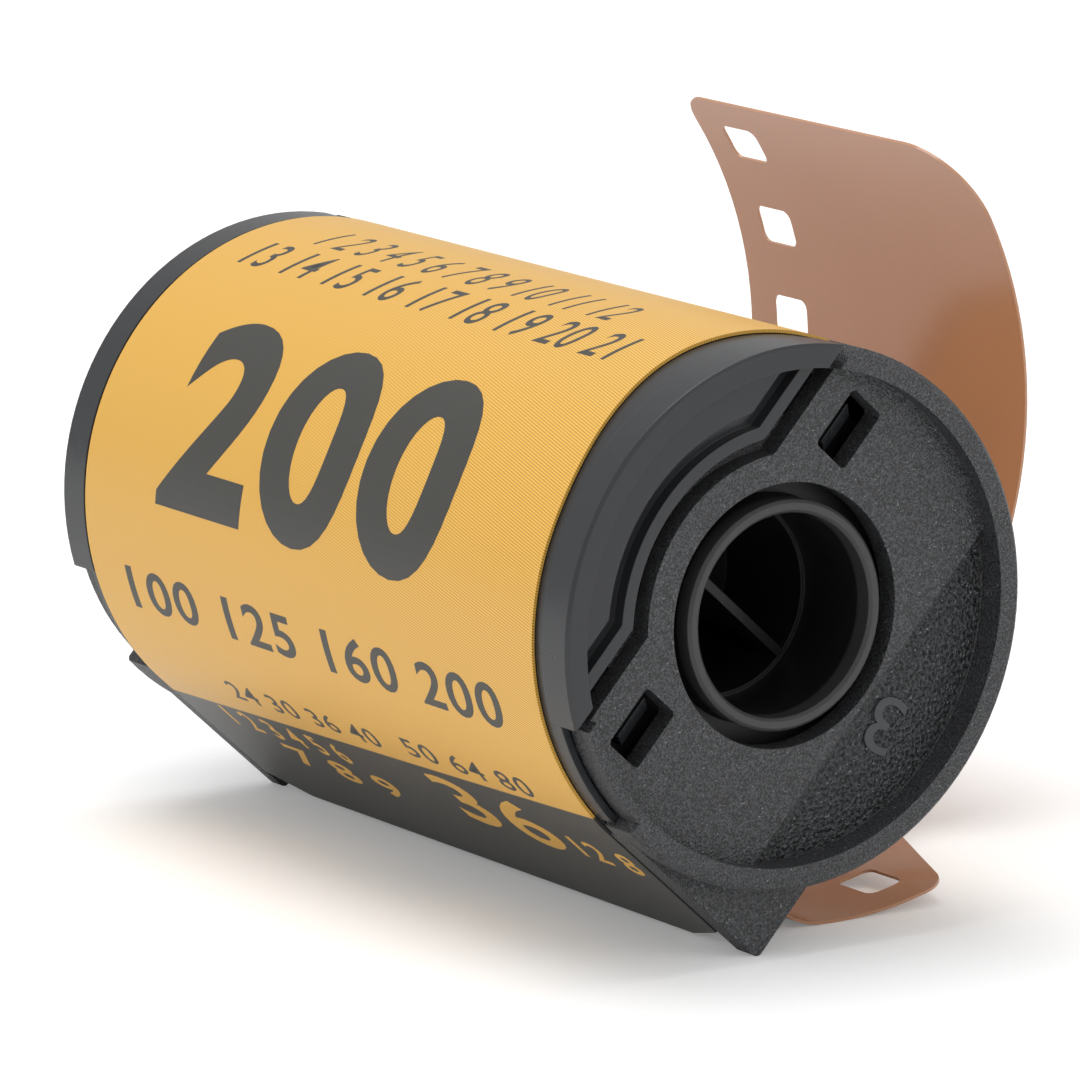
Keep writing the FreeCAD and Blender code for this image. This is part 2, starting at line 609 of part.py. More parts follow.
def make_label():
    """The printed label: from the outer lip round the back to the far side of the mouth."""
    piece = body("label")
    inner, outer = "(case_radius + label_gap)", "(case_radius + label_gap + label_thickness)"
    wrap = [
        (f"-{outer}", "label_lip"),
        (f"-{outer}", "0", outer, 1),
        ("0", f"-{outer}", outer, 1),
        (outer, "0", outer, 1),
        (f"{outer} * cos(label_end_angle)", f"{outer} * sin(label_end_angle)"),
        (f"{inner} * cos(label_end_angle)", f"{inner} * sin(label_end_angle)", inner, -1),
        (inner, "0", inner, -1),
        ("0", f"-{inner}", inner, -1),
        (f"-{inner}", "0"),
        (f"-{inner}", "label_lip"),
    ]
    slab(piece, "wrap", wrap, "label_start", "body_length - label_finish")
    near, far = "label_start", "(body_length - label_finish)"
    for end, edge, away in (("near", near, "+"), ("far", far, "-")):
        corner = [
            ("(label_lip - lip_notch_deep)", edge),
            ("label_lip", edge),
            ("label_lip", f"({edge} {away} lip_notch)"),
        ]
        sketch = new_sketch(piece, f"{end}_lip_corner", f"-{inner} + wall", "YZ_Plane")
        pocket(piece, draw(sketch, corner), "case_radius")
    return piece


HALF_FILM = "(film_thickness / 2)"


def on_curl(radius, angle):
    """A point at a radius from the curl's centre, at degrees above the level."""
    turn = f"(seam_angle - ({angle}))"
    return f"(curl_x + ({radius}) * cos({turn}))", f"(curl_y + ({radius}) * sin({turn}))"


def at_contact(radius):
    """A point at a radius from the curl's centre, on its line through the small bend's centre."""
    share = f"(({radius}) / (curl_radius - blend_radius))"
    return (
        f"(curl_x + {share} * (blend_x - curl_x))",
        f"(curl_y + {share} * (blend_y - curl_y))",
    )


def curl_sketch(piece, name, angle, clear):
    """A sketch inside the curl that looks out at it: its x runs along the film towards the
    leader's end, its y is the depth, and a pocket from it cuts outwards."""
    sketch = new_sketch(piece, name)
    turn = math.radians(value(f"seam_angle - ({angle})"))
    out, along = Vector(math.cos(turn), math.sin(turn), 0), Vector(math.sin(turn), -math.cos(turn), 0)
    x, y = on_curl(f"curl_radius - {clear}", angle)
    sketch.AttachmentOffset = Placement(
        Vector(value(x), value(y), 0), Rotation(along, Vector(0, 0, 1), out * -1, "XYZ")
    )
    sketch.setExpression("AttachmentOffset.Base.x", bound(x))
    sketch.setExpression("AttachmentOffset.Base.y", bound(y))
    sketch.setExpression("AttachmentOffset.Base.z", "0")
    doc.recompute()
    return sketch


def perforation(edge, middle="0"):
    """A perforation's outline beside the film's near or far edge, at a place along the film."""
    low = "(film_start + hole_margin)"
    if edge == "far":
        low = "(film_finish - hole_margin - hole_long)"
    x_low, x_high = f"({middle} - hole_short / 2)", f"({middle} + hole_short / 2)"
    return rounded(x_low, x_high, low, f"({low} + hole_long)", "hole_corner")


def repeat(piece, cut, kind, axis, size, length, count):
    """A pattern of the last cut, along a line or round an axis."""
    pattern = piece.newObject(f"PartDesign::{kind}", f"{cut.Name}_row")
    pattern.Originals = [cut]
    if kind == "PolarPattern":
        pattern.Axis = axis
    else:
        pattern.Direction = axis
        pattern.Reversed = True
    pattern.setExpression(size, bound(length))
    pattern.setExpression("Occurrences", bound(count))
    piece.Tip = pattern
    doc.recompute()
    return pattern


def cut_step(piece):
    """The step from the full width down to the leader's tongue, with its curved corner."""
    lean = "(step_lean / 4)"
    slope = f"({lean} / sqrt(1 + {lean} ^ 2))"
    cosine = f"(1 / sqrt(1 + {lean} ^ 2))"
    start = "(-step_lean - step_corner / 2)"
    upper = f"(tongue_edge - step_hollow * (1 - {slope}))"
    lower = f"(film_start + step_corner * (1 - {slope}))"
    upper_x = f"({start} + ({upper} - film_start) * {lean})"
    lower_x = f"({start} + ({lower} - film_start) * {lean})"
    foot = f"({lower_x} - step_corner * {cosine})"
    hollow = f"({upper_x} + step_hollow * {cosine})"
    reach = f"({hollow} + step_corner)"
    step = [
        (foot, "(film_start - hole_margin)"),
        (reach, "(film_start - hole_margin)"),
        (reach, "tongue_edge"),
        (hollow, "tongue_edge", "step_hollow", 1),
        (upper_x, upper),
        (lower_x, lower, "step_corner", -1),
        (foot, "film_start"),
    ]
    sketch = curl_sketch(piece, "step", "step_angle", "blend_radius")
    pocket(piece, draw(sketch, step), "(blend_radius + wall)")
    first = f"(step_angle + ({reach} - hole_margin) / curl_radius * 180 / pi)"
    last = "(curl_end_angle + hole_turn)"
    side = [
        (*on_curl("curl_radius - blend_radius", first), "(curl_radius - blend_radius)", -1),
        on_curl("curl_radius - blend_radius", last),
        (*on_curl("curl_radius + blend_radius", last), "(curl_radius + blend_radius)", 1),
        on_curl("curl_radius + blend_radius", first),
    ]
    recess(piece, "tongue_side", side, "(film_start - hole_margin)", "tongue_edge")


def make_film():
    """The roll and its leader, one length of film: the outline of its edge is padded to width."""
    piece = body("film")
    roll, face = f"(film_line + {HALF_FILM})", f"(film_line - {HALF_FILM})"
    inner, outer = f"(curl_radius - {HALF_FILM})", f"(curl_radius + {HALF_FILM})"
    outline = [
        (f"-{roll}", "0", roll, 1),
        ("0", f"-{roll}", roll, 1),
        (roll, "0", roll, 1),
        ("0", roll, roll, 1),
        (f"-{face}", across(roll, face)),
        (f"-{face}", "blend_y", f"(blend_radius - {HALF_FILM})", -1),
        (*at_contact(inner), inner, -1),
        on_curl(inner, "curl_end_angle"),
        (*on_curl(outer, "curl_end_angle"), outer, 1),
        (*at_contact(outer), f"(blend_radius + {HALF_FILM})", 1),
        (f"-{roll}", "blend_y"),
    ]
    section = draw(new_sketch(piece, "section", "film_start"), outline)
    pad(piece, draw_circle(section, "core_radius + core_gap"), "film_width")
    cut_step(piece)
    for name, radius, edge, away, turn in (
        ("near_corner", "tongue_near_corner", "tongue_edge", "+", -1),
        ("far_corner", "tongue_far_corner", "film_finish", "-", 1),
    ):
        corner = [
            ("0", f"({edge} {away} {radius})", radius, turn),
            (f"-{radius}", edge),
            (f"-{radius}", f"({edge} {away} -wall)"),
            ("wall", f"({edge} {away} -wall)"),
            ("wall", f"({edge} {away} {radius})"),
        ]
        pocket(piece, draw(curl_sketch(piece, name, "curl_end_angle", "wall"), corner), "2 * wall")
    centre = draw_circle(new_sketch(piece, "curl_centre"), "curl_radius")
    centre.setExpression("AttachmentOffset.Base.x", bound("curl_x"))
    centre.setExpression("AttachmentOffset.Base.y", bound("curl_y"))
    near_angle = "(hole_angle - near_first * hole_turn)"
    near_holes = "(far_holes - near_first)"
    for edge, angle, count in (
        ("far", "hole_angle", "far_holes"),
        ("near", near_angle, near_holes),
    ):
        sketch = curl_sketch(piece, f"{edge}_hole", angle, "wall")
        cut = pocket(piece, draw(sketch, perforation(edge)), "2 * wall")
        row = f"({count} - 1) * hole_turn"
        repeat(piece, cut, "PolarPattern", (centre, ["N_Axis"]), "Angle", row, count)
    first = "(blend_y - (straight_first * hole_spacing - curl_run - bend_run))"
    straight = new_sketch(piece, "straight_holes", "-(film_line - wall)", "YZ_Plane")
    for edge in ("far", "near"):
        draw(straight, perforation(edge, first))
    cut = pocket(piece, straight, "2 * wall")
    repeat(piece, cut, "LinearPattern", (straight, ["H_Axis"]), "Length", "hole_spacing", "2")
    return piece


def make_spool():
    """The spool: core, two flanges, a key web in each end, and the nub that stands out."""
    piece = body("spool")
    near_out, far_out = "(film_start - flange_gap - flange_thickness)", "(film_finish + flange_gap)"
    near_in, far_in = "(film_start - flange_gap)", "(film_finish + flange_gap + flange_thickness)"
    shoulder = "(body_length + nub_start)"
    turned = [
        ("0", "(spool_end - nub_bore_depth)"),
        ("0", "(spool_inset + fork_depth)"),
        ("web_radius", "(spool_inset + fork_depth)"),
        ("web_radius", "(spool_inset + web_depth)"),
        ("fork_radius", "(spool_inset + web_depth)"),
        ("fork_radius", "(spool_inset + journal_edge)"),
        ("(fork_radius + journal_edge)", "spool_inset"),
        ("(journal_radius - journal_edge)", "spool_inset"),
        ("journal_radius", "(spool_inset + journal_edge)"),
        ("journal_radius", near_out),
        ("flange_radius", near_out),
        ("flange_radius", near_in),
        ("core_radius", near_in),
        ("core_radius", far_out),
        ("flange_radius", far_out),
        ("flange_radius", far_in),
        ("journal_radius", far_in),
        ("journal_radius", shoulder),
        ("nub_radius", shoulder),
        ("nub_radius", "(spool_end - nub_edge)"),
        ("(nub_radius - nub_edge)", "spool_end"),
        ("nub_bore", "spool_end"),
        ("nub_bore", "(spool_end - nub_bore_depth)"),
    ]
    sketch = draw(new_sketch(piece, "turned", role="XZ_Plane"), turned)
    revolution = piece.newObject("PartDesign::Revolution", "turned_body")
    revolution.Profile = sketch
    revolution.ReferenceAxis = (sketch, ["V_Axis"])
    revolution.Angle = 360
    doc.recompute()
    half = "(web_thickness / 2)"
    for name, radius, low, high in (
        ("fork_web", "web_radius", "(spool_inset + web_depth)", "(spool_inset + fork_depth)"),
        ("nub_web", "nub_bore", "(spool_end - nub_bore_depth)", "(spool_end - nub_bore_depth / 2)"),
    ):
        slab(piece, name, rectangle(f"-{half}", half, f"-{radius}", radius), low, high)
    half_slot = "(slot_width / 2)"
    slot_foot, slot_top = "(core_radius - slot_deep)", "(core_radius + slot_width)"
    slot = rectangle(f"-{half_slot}", half_slot, slot_foot, slot_top)
    recess(piece, "film_slot", slot, f"({near_in} + slot_margin)", f"({far_out} - slot_margin)")
    return piece


def lay_in_place(piece):
    """The working frame's place at rest: the mouth's corners and the curl's foot on the ground,
    and the cartridge and its leader centred over the origin."""
    turn = math.radians(value("seam_angle"))
    reach = value(f"curl_offset + curl_radius + {HALF_FILM}")
    back = value("case_radius + label_gap + label_thickness")
    length = value("spool_end")
    piece.Placement = Placement(
        Vector((back - reach) / 2, -length / 2, value("axis_height")),
        Rotation(
            Vector(math.cos(turn), 0, math.sin(turn)),
            Vector(math.sin(turn), 0, -math.cos(turn)),
            Vector(0, 1, 0),
            "XYZ",
        ),
    )


def check_and_export():
    pieces = [obj for obj in doc.Objects if obj.TypeId == "PartDesign::Body"]
    for piece in pieces:
        lay_in_place(piece)
    doc.recompute()
    for obj in doc.Objects:
        if "Invalid" in obj.State or "Error" in obj.State:
            raise RuntimeError(f"{obj.Name}: {obj.State}")
    for piece in pieces:
        if piece.Shape.isNull() or not piece.Shape.isValid() or len(piece.Shape.Solids) != 1:
            raise RuntimeError(f"{piece.Label} has no single valid solid")
    os.makedirs("parts", exist_ok=True)
    for piece in pieces:
        piece.Shape.exportStep(f"parts/{piece.Label}.step")
        box = piece.Shape.BoundBox
        print(f"{piece.Label}: {piece.Shape.Volume:.1f} mm3, {box}")


make_outer_shell()
make_inner_shell()
make_light_traps()
make_label()
make_film()
make_spool()
check_and_export()
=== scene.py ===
"""A 35 mm film cartridge lying on its side with its leader curled up, dressed for a picture."""
import json
import math

import bmesh
import bpy
from mathutils import Matrix, Vector


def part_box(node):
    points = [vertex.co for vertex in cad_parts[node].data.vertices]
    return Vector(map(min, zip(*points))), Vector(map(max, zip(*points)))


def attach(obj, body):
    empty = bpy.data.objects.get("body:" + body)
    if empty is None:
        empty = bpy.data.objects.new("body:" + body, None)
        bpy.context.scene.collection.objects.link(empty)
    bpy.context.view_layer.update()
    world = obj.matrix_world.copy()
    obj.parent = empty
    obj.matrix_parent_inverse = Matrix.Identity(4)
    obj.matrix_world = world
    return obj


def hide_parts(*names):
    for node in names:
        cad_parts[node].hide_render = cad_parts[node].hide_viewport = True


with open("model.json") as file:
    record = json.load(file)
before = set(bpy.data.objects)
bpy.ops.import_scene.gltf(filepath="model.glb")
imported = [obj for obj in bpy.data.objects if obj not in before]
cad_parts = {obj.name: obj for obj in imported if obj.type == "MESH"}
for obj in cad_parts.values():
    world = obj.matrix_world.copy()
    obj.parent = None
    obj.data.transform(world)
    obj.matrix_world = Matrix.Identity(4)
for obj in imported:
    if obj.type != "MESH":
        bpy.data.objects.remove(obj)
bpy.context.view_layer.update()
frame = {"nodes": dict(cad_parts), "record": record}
nodes = frame["nodes"]
MM = 0.001


# The studio: a pale floor that runs up into a pale backdrop, seen from in front of the flat end
# and a little above it. The camera's place is told from the cartridge's axis, which the record
# gives, so it follows the cartridge if the leader changes.
AXIS = Vector(frame["record"]["behaviour"]["joints"][0]["pos_m"])
NEAR_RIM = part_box("inner_shell")[0][1]
CAMERA_FROM_RIM = Vector((-216.45, -301.149, 80.535)) * MM
CAMERA_RIGHT = Vector((0.829785, -0.558083, 0))
CAMERA_UP = Vector((0.113353, 0.168539, 0.979156))
SENSOR, LENS = 36, 282.2
CLIP_START, CLIP_END = 0.01, 20

rim_centre = Vector((AXIS.x, NEAR_RIM, AXIS.z))
camera = bpy.data.objects.new("camera", bpy.data.cameras.new("camera"))
camera.data.sensor_width = SENSOR
camera.data.lens = LENS
camera.data.clip_start = CLIP_START
camera.data.clip_end = CLIP_END
backward = CAMERA_RIGHT.cross(CAMERA_UP).normalized()
right = CAMERA_RIGHT.normalized()
turned = Matrix((right, backward.cross(right), backward)).transposed().to_4x4()
camera.matrix_world = Matrix.Translation(rim_centre + CAMERA_FROM_RIM) @ turned
bpy.context.scene.collection.objects.link(camera)
bpy.context.scene.camera = camera
bpy.context.scene.view_settings.view_transform = "Standard"

BEVEL_SAMPLES = 6


class Wire:
    """A number that varies over a surface. Sums on it add Math nodes to its finish."""

    def __init__(self, finish, socket):
        self.finish, self.socket = finish, socket

    def __add__(self, other):
        return self.finish.math("ADD", self, other)

    def __sub__(self, other):
        return self.finish.math("SUBTRACT", self, other)

    def __rsub__(self, other):
        return self.finish.math("SUBTRACT", other, self)

    def __mul__(self, other):
        return self.finish.math("MULTIPLY", self, other)


class Finish:
    """One material: the shader, with what is the same all over set on it, and what feeds it."""

    def __init__(self, name, **same):
        self.material = bpy.data.materials.new(name)
        self.material.use_nodes = True
        self.tree = self.material.node_tree
        self.shader = self.tree.nodes["Principled BSDF"]
        for socket, value in same.items():
            self.shader.inputs[socket.replace("_", " ")].default_value = value

    def add(self, kind, settings=None, inputs=None):
        """A new node. Its inputs are fed by wires or set to values."""
        made = self.tree.nodes.new(kind)
        for name, value in (settings or {}).items():
            setattr(made, name, value)
        for name, value in (inputs or {}).items():
            if isinstance(value, Wire):
                self.tree.links.new(value.socket, made.inputs[name])
            else:
                made.inputs[name].default_value = value
        return made

    def node(self, kind, settings=None, inputs=None, output=0):
        """The wire that leaves a new node."""
        return Wire(self, self.add(kind, settings, inputs).outputs[output])

    def feed(self, socket, wire):
        self.tree.links.new(wire.socket, self.shader.inputs[socket])

    def math(self, operation, *values):
        return self.node("ShaderNodeMath", {"operation": operation}, dict(enumerate(values)))

    def ramp(self, value, low, high):
        """0 below low, 1 above high, and a straight run between; high may be the lower one."""
        inputs = {"Value": value, "From Min": low, "From Max": high}
        return self.node("ShaderNodeMapRange", None, inputs)

    def blend(self, factor, first, second):
        """A colour between two others: inputs 6 and 7 and output 2 of the Mix node."""
        inputs = {0: factor, 6: first, 7: second}
        return self.node("ShaderNodeMix", {"data_type": "RGBA"}, inputs, 2)

    def parts(self, vector):
        """The three numbers of a place."""
        split = self.add("ShaderNodeSeparateXYZ", None, {0: vector})
        return [Wire(self, output) for output in split.outputs]

    def place(self):
        """The place on the piece, in metres."""
        return self.node("ShaderNodeTexCoord", output="Object")

    def noise(self, size, detail=2.0):
        """Noise from 0 to 1 with lumps of a size in metres."""
        inputs = {"Vector": self.place(), "Scale": 1 / size, "Detail": detail}
        return self.node("ShaderNodeTexNoise", None, inputs)

    def relief(self, height, distance, edge=0.0):
        """Bumps on the surface, over edges that are rounded by a radius."""
        inputs = {"Height": height, "Distance": distance}
        if edge:
            rounded = self.node("ShaderNodeBevel", {"samples": BEVEL_SAMPLES}, {"Radius": edge})
            inputs["Normal"] = rounded
        self.feed("Normal", self.node("ShaderNodeBump", None, inputs))


def dress(node, finish):
    """A CAD node takes a finish."""
    for slot in nodes[node].material_slots:
        slot.material = finish.material


def plain_mesh(name, points, faces):
    """A new piece, with its place in its mesh."""
    mesh = bpy.data.meshes.new(name)
    mesh.from_pydata(points, [], faces)
    piece = bpy.data.objects.new(name, mesh)
    bpy.context.scene.collection.objects.link(piece)
    return piece


# The floor glows a little where the camera sees it, so that it comes out as white as the paper
# round the cartridge in the photograph. Its shadow stays.
FLOOR_REACH, FLOOR_SIDE = 2.0, 3.0
SWEEP_START, SWEEP_RADIUS, SWEEP_STEPS = 1.0, 0.6, 12
NO_GLOW, PAPER_GLOW = (0, 0, 0, 1), (0.16, 0.16, 0.16, 1)
profile = [(-FLOOR_REACH, 0)]
for step in range(SWEEP_STEPS + 1):
    angle = math.pi / 2 * step / SWEEP_STEPS
    run = SWEEP_START + SWEEP_RADIUS * math.sin(angle)
    profile.append((run, SWEEP_RADIUS * (1 - math.cos(angle))))
profile.append((SWEEP_START + SWEEP_RADIUS, FLOOR_REACH))
ahead = Vector((-backward.x, -backward.y, 0)).normalized()
aside = Vector((ahead.y, -ahead.x, 0))
points = []
for run, rise in profile:
    middle = ahead * run + Vector((0, 0, rise))
    points += [middle - aside * FLOOR_SIDE, middle + aside * FLOOR_SIDE]
faces = [(2 * i, 2 * i + 1, 2 * i + 3, 2 * i + 2) for i in range(len(profile) - 1)]
floor = plain_mesh("floor", points, faces)
paper = Finish("white_paper", Base_Color=(0.93, 0.93, 0.93, 1), Roughness=0.8)
paper.shader.inputs["Emission Strength"].default_value = 1
seen = paper.node("ShaderNodeLightPath", output="Is Camera Ray")
paper.feed("Emission Color", paper.blend(seen, NO_GLOW, PAPER_GLOW))
floor.data.materials.append(paper.material)

# White light comes from all round, and three soft square lamps are aimed at the cartridge. Each
# lamp's row gives its name, its place, its side in metres and its power in watts.
WORLD_LIGHT, WORLD_STRENGTH = (1, 1, 1, 1), 0.62
LAMP_TARGET = Vector((0, 0, 0.015))
LAMPS = (
    ("overhead", (-0.05, 0.1, 0.6), 0.4, 2.0),
    ("left_side", (-0.6, 0.15, 0.35), 0.4, 0.55),
    ("front", (0.25, -0.6, 0.3), 0.5, 0.7),
)
world = bpy.data.worlds.new("studio")
bpy.context.scene.world = world
world.use_nodes = True
sky = world.node_tree.nodes["Background"]
sky.inputs["Color"].default_value = WORLD_LIGHT
sky.inputs["Strength"].default_value = WORLD_STRENGTH
for name, place, side, power in LAMPS:
    lamp = bpy.data.objects.new(name, bpy.data.lights.new(name, "AREA"))
    lamp.data.size = side
    lamp.data.energy = power
    lamp.location = place
    lamp.rotation_euler = (LAMP_TARGET - Vector(place)).to_track_quat("-Z", "Y").to_euler()
    bpy.context.scene.collection.objects.link(lamp)


# The spool: one black moulding, with a fork bore at the flat end, a key web across it, and the
# nub that stands out of the other end. Its rim has the plastic's own black, and the bore behind
# the rim is painted darker: painted shade where little light gets in.
SPOOL_BLACK, BORE_PAINTED_SHADE = (0.04, 0.0405, 0.041, 1), (0.008, 0.008, 0.0085, 1)
RIM_END, BORE_START = 0.9 * MM, 1.1 * MM
SPOOL_RIPPLE, SPOOL_RELIEF, SPOOL_EDGE = 0.3 * MM, 0.004 * MM, 0.08 * MM
spool_finish = Finish("spool_plastic", Roughness=0.4)
depth = spool_finish.parts(spool_finish.place())[1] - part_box("spool")[0][1]
# Painted shade: past the rim the colour turns to the darker black of the shaded bore.
in_bore = spool_finish.ramp(depth, RIM_END, BORE_START)
spool_finish.feed("Base Color", spool_finish.blend(in_bore, SPOOL_BLACK, BORE_PAINTED_SHADE))
spool_finish.relief(spool_finish.noise(SPOOL_RIPPLE), SPOOL_RELIEF, SPOOL_EDGE)
dress("spool", spool_finish)


# The film: a tan-brown strip of plastic wound on the spool. Its leader comes out between the
# lips and has taken the curl of the roll. The holes are punched, so their edges are sharp. The
# inner turns lie in the dark, so they are shaded where the core's slot shows them.
FILM_BROWN, FILM_TAN = (0.47, 0.245, 0.14, 1), (0.54, 0.285, 0.17, 1)
FILM_SHADED = (0.012, 0.01, 0.009, 1)
SHADED_TO, LIT_FROM = 6 * MM, 7 * MM
FILM_CLOUD, FILM_WAVE, FILM_RELIEF = 12 * MM, 6 * MM, 0.02 * MM
film_finish = Finish("film", Roughness=0.13)
film_tone = film_finish.noise(FILM_CLOUD, detail=1.0)
x, _, z = film_finish.parts(film_finish.place())
square = (x - AXIS.x) * (x - AXIS.x) + (z - AXIS.z) * (z - AXIS.z)
outer_turn = film_finish.ramp(film_finish.math("SQRT", square), SHADED_TO, LIT_FROM)
film_colour = film_finish.blend(film_tone, FILM_BROWN, FILM_TAN)
film_finish.feed("Base Color", film_finish.blend(outer_turn, FILM_SHADED, film_colour))
film_finish.relief(film_finish.noise(FILM_WAVE), FILM_RELIEF)
dress("film", film_finish)


# The light traps: two strips of black velvet glued inside the mouth, one on each lip. A woven
# backing carries a nap of short fibres that brushes the film and keeps the light out.
SEAM_ANGLE = math.radians(47.7)
across_seam = Vector((math.cos(SEAM_ANGLE), 0, math.sin(SEAM_ANGLE)))
to_mouth = Vector((math.sin(SEAM_ANGLE), 0, -math.cos(SEAM_ANGLE)))
NAP, FIBRE_ROOT, FIBRE_TIP, FIBRES_PER_AREA = 0.6 * MM, 0.04 * MM, 0.02 * MM, 1.6e7
FIBRE_SIDES, FIBRE_LEAN, FIBRE_TWIST = 4, 0.16, 3
FACING_LEAST = 0.9
TRAPS = (("outer_light_trap", across_seam), ("inner_light_trap", -across_seam))
pile_finish = Finish("pile", Base_Color=(0.008, 0.008, 0.009, 1), Roughness=0.95)


def velvet_tree():
    """Geometry nodes: a strip sinks to its backing, and fibres grow on the side that faces."""
    tree = bpy.data.node_groups.new("velvet", "GeometryNodeTree")
    face = tree.interface
    face.new_socket("Strip", in_out="INPUT", socket_type="NodeSocketGeometry")
    face.new_socket("Facing", in_out="INPUT", socket_type="NodeSocketVector")
    for name in ("Middle", "Nap", "Fibre Root", "Fibre Tip", "Fibres Per Area"):
        face.new_socket(name, in_out="INPUT", socket_type="NodeSocketFloat")
    face.new_socket("Seed", in_out="INPUT", socket_type="NodeSocketInt")
    face.new_socket("Finish", in_out="INPUT", socket_type="NodeSocketMaterial")
    face.new_socket("Velvet", in_out="OUTPUT", socket_type="NodeSocketGeometry")

    def add(kind, settings=None, **inputs):
        """A new node's outputs. An input is given by its name, or as _0, _1 by its number."""
        made = tree.nodes.new(kind)
        for name, value in (settings or {}).items():
            setattr(made, name, value)
        for name, value in inputs.items():
            key = int(name[1:]) if name[1:].isdigit() else name.replace("_", " ")
            socket = made.inputs[key]
            if isinstance(value, bpy.types.NodeSocket):
                tree.links.new(value, socket)
            else:
                socket.default_value = value
        return made.outputs

    dot, more = {"operation": "DOT_PRODUCT"}, {"operation": "GREATER_THAN"}
    times, scale = {"operation": "MULTIPLY"}, {"operation": "SCALE"}
    given = add("NodeGroupInput")
    facing = given["Facing"]
    place = add("GeometryNodeInputPosition")[0]
    level = add("ShaderNodeVectorMath", dot, _0=place, _1=facing)["Value"]
    front = add("FunctionNodeCompare", more, A=level, B=given["Middle"])[0]
    minus = add("ShaderNodeMath", times, _0=given["Nap"], _1=-1.0)[0]
    sink = add("ShaderNodeVectorMath", scale, _0=facing, Scale=minus)[0]
    backing = add(
        "GeometryNodeSetPosition",
        Geometry=given["Strip"],
        Selection=front,
        Offset=sink,
    )[0]
    normal = add("GeometryNodeInputNormal")[0]
    toward = add("ShaderNodeVectorMath", dot, _0=normal, _1=facing)["Value"]
    top = add("FunctionNodeCompare", more, A=toward, B=FACING_LEAST)[0]
    roots = add(
        "GeometryNodeDistributePointsOnFaces",
        {"distribute_method": "RANDOM"},
        Mesh=backing,
        Selection=top,
        Density=given["Fibres Per Area"],
        Seed=given["Seed"],
    )
    fibre = add(
        "GeometryNodeMeshCone",
        {"fill_type": "NGON"},
        Vertices=FIBRE_SIDES,
        Radius_Top=given["Fibre Tip"],
        Radius_Bottom=given["Fibre Root"],
        Depth=given["Nap"],
    )[0]
    lean = add(
        "FunctionNodeRandomValue",
        {"data_type": "FLOAT_VECTOR"},
        _0=(-FIBRE_LEAN, -FIBRE_LEAN, 0),
        _1=(FIBRE_LEAN, FIBRE_LEAN, FIBRE_TWIST),
        Seed=given["Seed"],
    )[0]
    turn = add(
        "FunctionNodeRotateRotation",
        {"rotation_space": "LOCAL"},
        _0=roots["Rotation"],
        _1=lean,
    )[0]
    grown = add(
        "GeometryNodeInstanceOnPoints",
        Points=roots["Points"],
        Instance=fibre,
        Rotation=turn,
    )[0]
    whole = add("GeometryNodeJoinGeometry", Geometry=backing)[0]
    tree.links.new(grown, whole.node.inputs[0])
    real = add("GeometryNodeRealizeInstances", Geometry=whole)[0]
    done = add("GeometryNodeSetMaterial", Geometry=real, Material=given["Finish"])[0]
    add("NodeGroupOutput", Velvet=done)
    return tree


def as_mesh(drawn):
    """The mesh that an object shows, with its nodes or its text worked out."""
    graph = bpy.context.evaluated_depsgraph_get()
    return bpy.data.meshes.new_from_object(drawn.evaluated_get(graph))


velvet = velvet_tree()
for seed, (strip, facing) in enumerate(TRAPS):
    mesh = nodes[strip].data.copy()
    levels = [vertex.co.dot(facing) for vertex in mesh.vertices]
    piece = bpy.data.objects.new(strip + "_velvet", mesh)
    bpy.context.scene.collection.objects.link(piece)
    modifier = piece.modifiers.new("velvet", "NODES")
    modifier.node_group = velvet
    sizes = {
        "Facing": facing,
        "Middle": (min(levels) + max(levels)) / 2,
        "Nap": NAP,
        "Fibre Root": FIBRE_ROOT,
        "Fibre Tip": FIBRE_TIP,
        "Fibres Per Area": FIBRES_PER_AREA,
        "Seed": seed,
        "Finish": pile_finish.material,
    }
    for item in velvet.interface.items_tree:
        if item.name in sizes:
            modifier[item.identifier] = sizes[item.name]
    grown = as_mesh(piece)
    piece.modifiers.clear()
    piece.data = grown
    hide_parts(strip)
    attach(piece, "cartridge")


# The inner shell: the black half with the fine grain, which carries the mouth's ends, the claw
# windows and the coarse segment on each end face. Its cavity number stands up on that segment.
# The coarse grain fades in from the segment's straight edge, and is only on its floor. Small
# light flecks over the grain are painted glints.
FAR_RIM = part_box("inner_shell")[1][1]
LOW_FLOOR_LINE, LOW_FLOOR_FADE = 5.85 * MM, 1.5 * MM
LOW_FLOOR_DEPTH, OFF_FLOOR, ON_FLOOR = 1.65 * MM, 0.2 * MM, 0.1 * MM
GRAIN, GLINT_SIZE, PEBBLE = 0.09 * MM, 0.12 * MM, 0.18 * MM
GRAIN_TONES, GLINT_TONES, PEBBLE_TONES = (0.34, 0.73), (0.76, 0.83), (0.36, 0.76)
GRAIN_DARK, GRAIN_LIGHT = (0.014, 0.0147, 0.016, 1), (0.082, 0.085, 0.09, 1)
PAINTED_GLINT = (0.21, 0.215, 0.22, 1)
GRAIN_RELIEF, GRAIN_EDGE, PEBBLE_HEIGHT = 0.07 * MM, 0.06 * MM, 3
grained = Finish("grained_plastic", Roughness=0.44)
x, y, z = grained.parts(grained.place())
from_seam = (x - AXIS.x) * to_mouth.x + (z - AXIS.z) * to_mouth.z
from_end = grained.math("MINIMUM", y - NEAR_RIM, FAR_RIM - y)
on_segment = grained.ramp(from_seam, LOW_FLOOR_LINE, LOW_FLOOR_LINE + LOW_FLOOR_FADE)
above = grained.ramp(from_end, LOW_FLOOR_DEPTH - OFF_FLOOR, LOW_FLOOR_DEPTH - ON_FLOOR)
below = grained.ramp(from_end, LOW_FLOOR_DEPTH + OFF_FLOOR, LOW_FLOOR_DEPTH + ON_FLOOR)
coarse = on_segment * above * below
pebbles = grained.noise(PEBBLE, detail=0.5)
